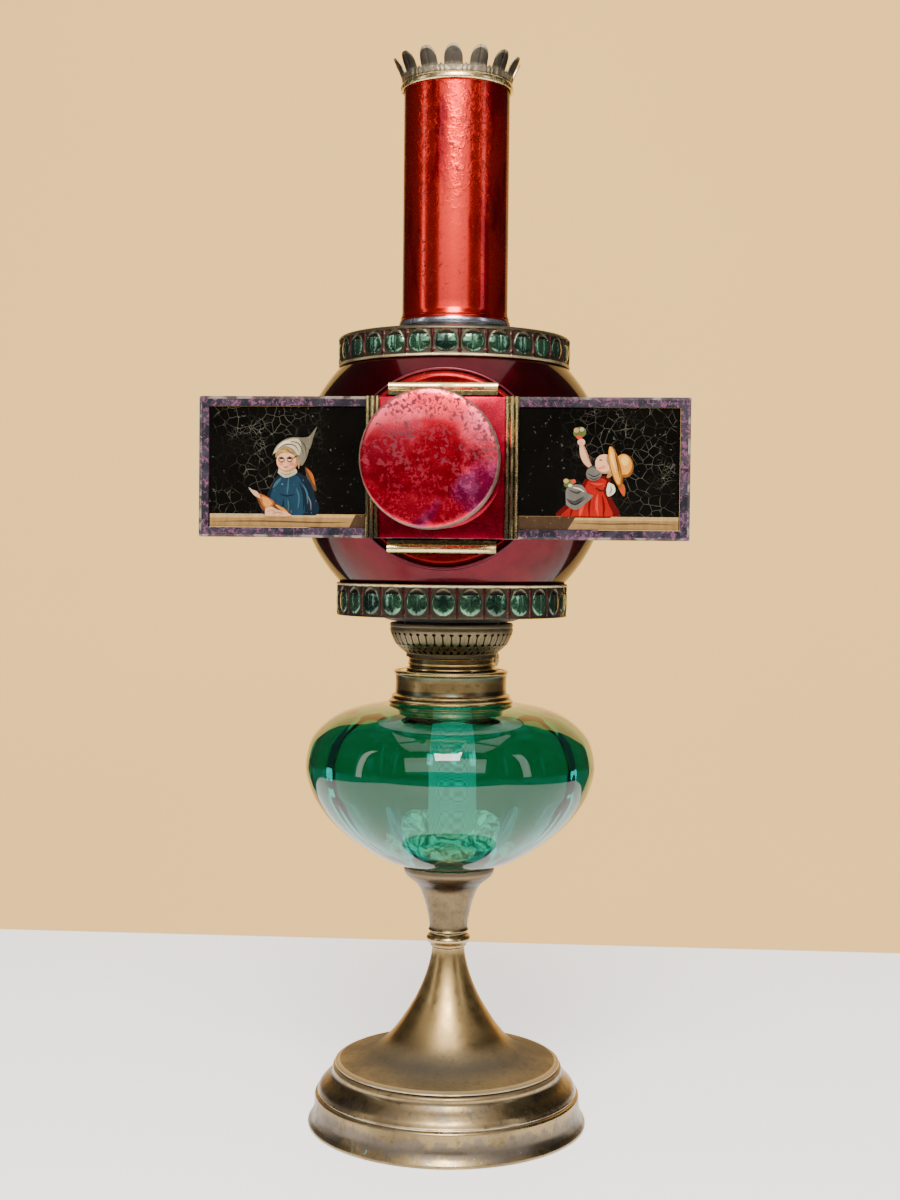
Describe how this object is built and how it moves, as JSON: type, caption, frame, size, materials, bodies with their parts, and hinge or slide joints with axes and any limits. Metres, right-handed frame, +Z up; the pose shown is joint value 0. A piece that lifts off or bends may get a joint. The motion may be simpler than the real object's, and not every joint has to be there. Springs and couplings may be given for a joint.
{
  "type": "oil lamp",
  "caption": "Brass and green glass oil lamp whose chimney is a round red tin picture projector with a flue, a lens tube and a long glass slide.",
  "frame": {"origin": "centre of the foot's underside, on the table", "axes": "+Z up along the lamp's axis; -Y is the front, along which the lens points; +X is to the right seen from the front"},
  "size_m": [0.243, 0.2435, 0.5712],
  "materials": {
    "aged_brass": "stamped sheet brass, tarnished brown with worn golden edges",
    "gilt_brass": "stamped gilt brass, partly tarnished",
    "red_lacquer": "glossy translucent wine-red lacquer over tinplate",
    "bare_tin": "dull bare tinplate",
    "dark_tin": "blackened tinplate, matt",
    "silvered": "silvered dish",
    "green_glass": "transparent emerald glass with optic panels",
    "clear_glass": "clear optical glass",
    "painted_glass": "glass painted black with coloured pictures",
    "marbled_paper": "marbled paper tape, worn at the corners",
    "iron": "rough cast iron",
    "plaster": "white lamp plaster",
    "cotton": "woven cotton wick"
  },
  "bodies": {
    "lamp": {"foot_plinth": "aged_brass", "foot_cone": "aged_brass", "base_cover": "bare_tin", "base_weight": "iron", "tie_rod": "iron", "tie_nut": "bare_tin", "stem_knop": "aged_brass", "stem_cup": "aged_brass", "peg_cement": "plaster", "font": "green_glass", "cotton_wad": "cotton", "font_collar": "aged_brass", "collar_cement": "plaster"},
    "burner": {"burner_plug": "aged_brass", "burner_drum": "aged_brass", "wick_tube": "aged_brass", "draught_tube": "aged_brass", "air_duct": "aged_brass", "spindle_bush": "aged_brass"},
    "spindle": {"wick_spindle": "aged_brass", "wick_wheel_front": "aged_brass", "wick_wheel_rear": "aged_brass", "wick_knob": "aged_brass"},
    "wick": {"wick": "cotton"},
    "air_basket": {"basket": "aged_brass", "prong_ring": "aged_brass"},
    "adapter": {"adapter_ring": "dark_tin"},
    "lantern": {"ball_shell": "red_lacquer", "lower_band": "gilt_brass", "bottom_plate": "bare_tin", "upper_band": "gilt_brass", "top_plate": "dark_tin", "chimney_socket": "bare_tin", "reflector": "silvered", "reflector_clip": "bare_tin", "front_collar": "red_lacquer", "stage_disc": "red_lacquer", "rail_top": "gilt_brass", "rail_bottom": "gilt_brass", "slide_spring_left": "gilt_brass", "slide_spring_right": "gilt_brass", "condenser_cell": "bare_tin", "condenser_ring": "bare_tin", "condenser_lens": "clear_glass", "front_plate": "red_lacquer", "strip_left": "gilt_brass", "strip_right": "gilt_brass", "lens_socket": "red_lacquer"},
    "slide": {"slide_frame": "marbled_paper", "slide_glass": "painted_glass"},
    "objective": {"draw_tube": "bare_tin", "lens_head": "aged_brass", "front_lens": "clear_glass", "front_lens_ring": "aged_brass", "rear_lens": "clear_glass"},
    "cap": {"lens_cap": "red_lacquer"},
    "chimney": {"chimney_tube": "red_lacquer", "chimney_rim": "gilt_brass", "chimney_crown": "gilt_brass"}
  },
  "joints": [
    {"name": "burner_unscrew", "type": "hinge", "parent": "lamp", "child": "burner", "pos_m": [0, 0, 0.245], "axis": [0, 0, 1], "range_deg": [0, 720]},
    {"name": "knob_turn", "type": "hinge", "parent": "burner", "child": "spindle", "pos_m": [0.016, 0, 0.2493], "axis": [0, 1, 0], "range_deg": [-90, 90]},
    {"name": "wick_feed", "type": "slide", "parent": "burner", "child": "wick", "axis": [0, 0, 1], "range_m": [-0.0066, 0.0066]},
    {"name": "basket_twist", "type": "hinge", "parent": "burner", "child": "air_basket", "pos_m": [0, 0, 0.2528], "axis": [0, 0, 1], "range_deg": [0, 30]},
    {"name": "lantern_swivel", "type": "hinge", "parent": "air_basket", "child": "adapter", "pos_m": [0, 0, 0.2722], "axis": [0, 0, 1], "continuous": true},
    {"name": "lantern_lift", "type": "slide", "parent": "adapter", "child": "lantern", "axis": [0, 0, 1], "range_m": [0, 0.06]},
    {"name": "slide_feed", "type": "slide", "parent": "lantern", "child": "slide", "axis": [1, 0, 0], "range_m": [-0.16, 0.16]},
    {"name": "lens_focus", "type": "slide", "parent": "lantern", "child": "objective", "axis": [0, -1, 0], "range_m": [-0.008, 0.012]},
    {"name": "cap_pull", "type": "slide", "parent": "objective", "child": "cap", "axis": [0, -1, 0], "range_m": [0, 0.03]},
    {"name": "chimney_lift", "type": "slide", "parent": "lantern", "child": "chimney", "axis": [0, 0, 1], "range_m": [0, 0.04]}
  ],
  "couplings": [
    {"joint": "wick_feed", "follows": "knob_turn", "m_per_rad": 0.0042}
  ]
}
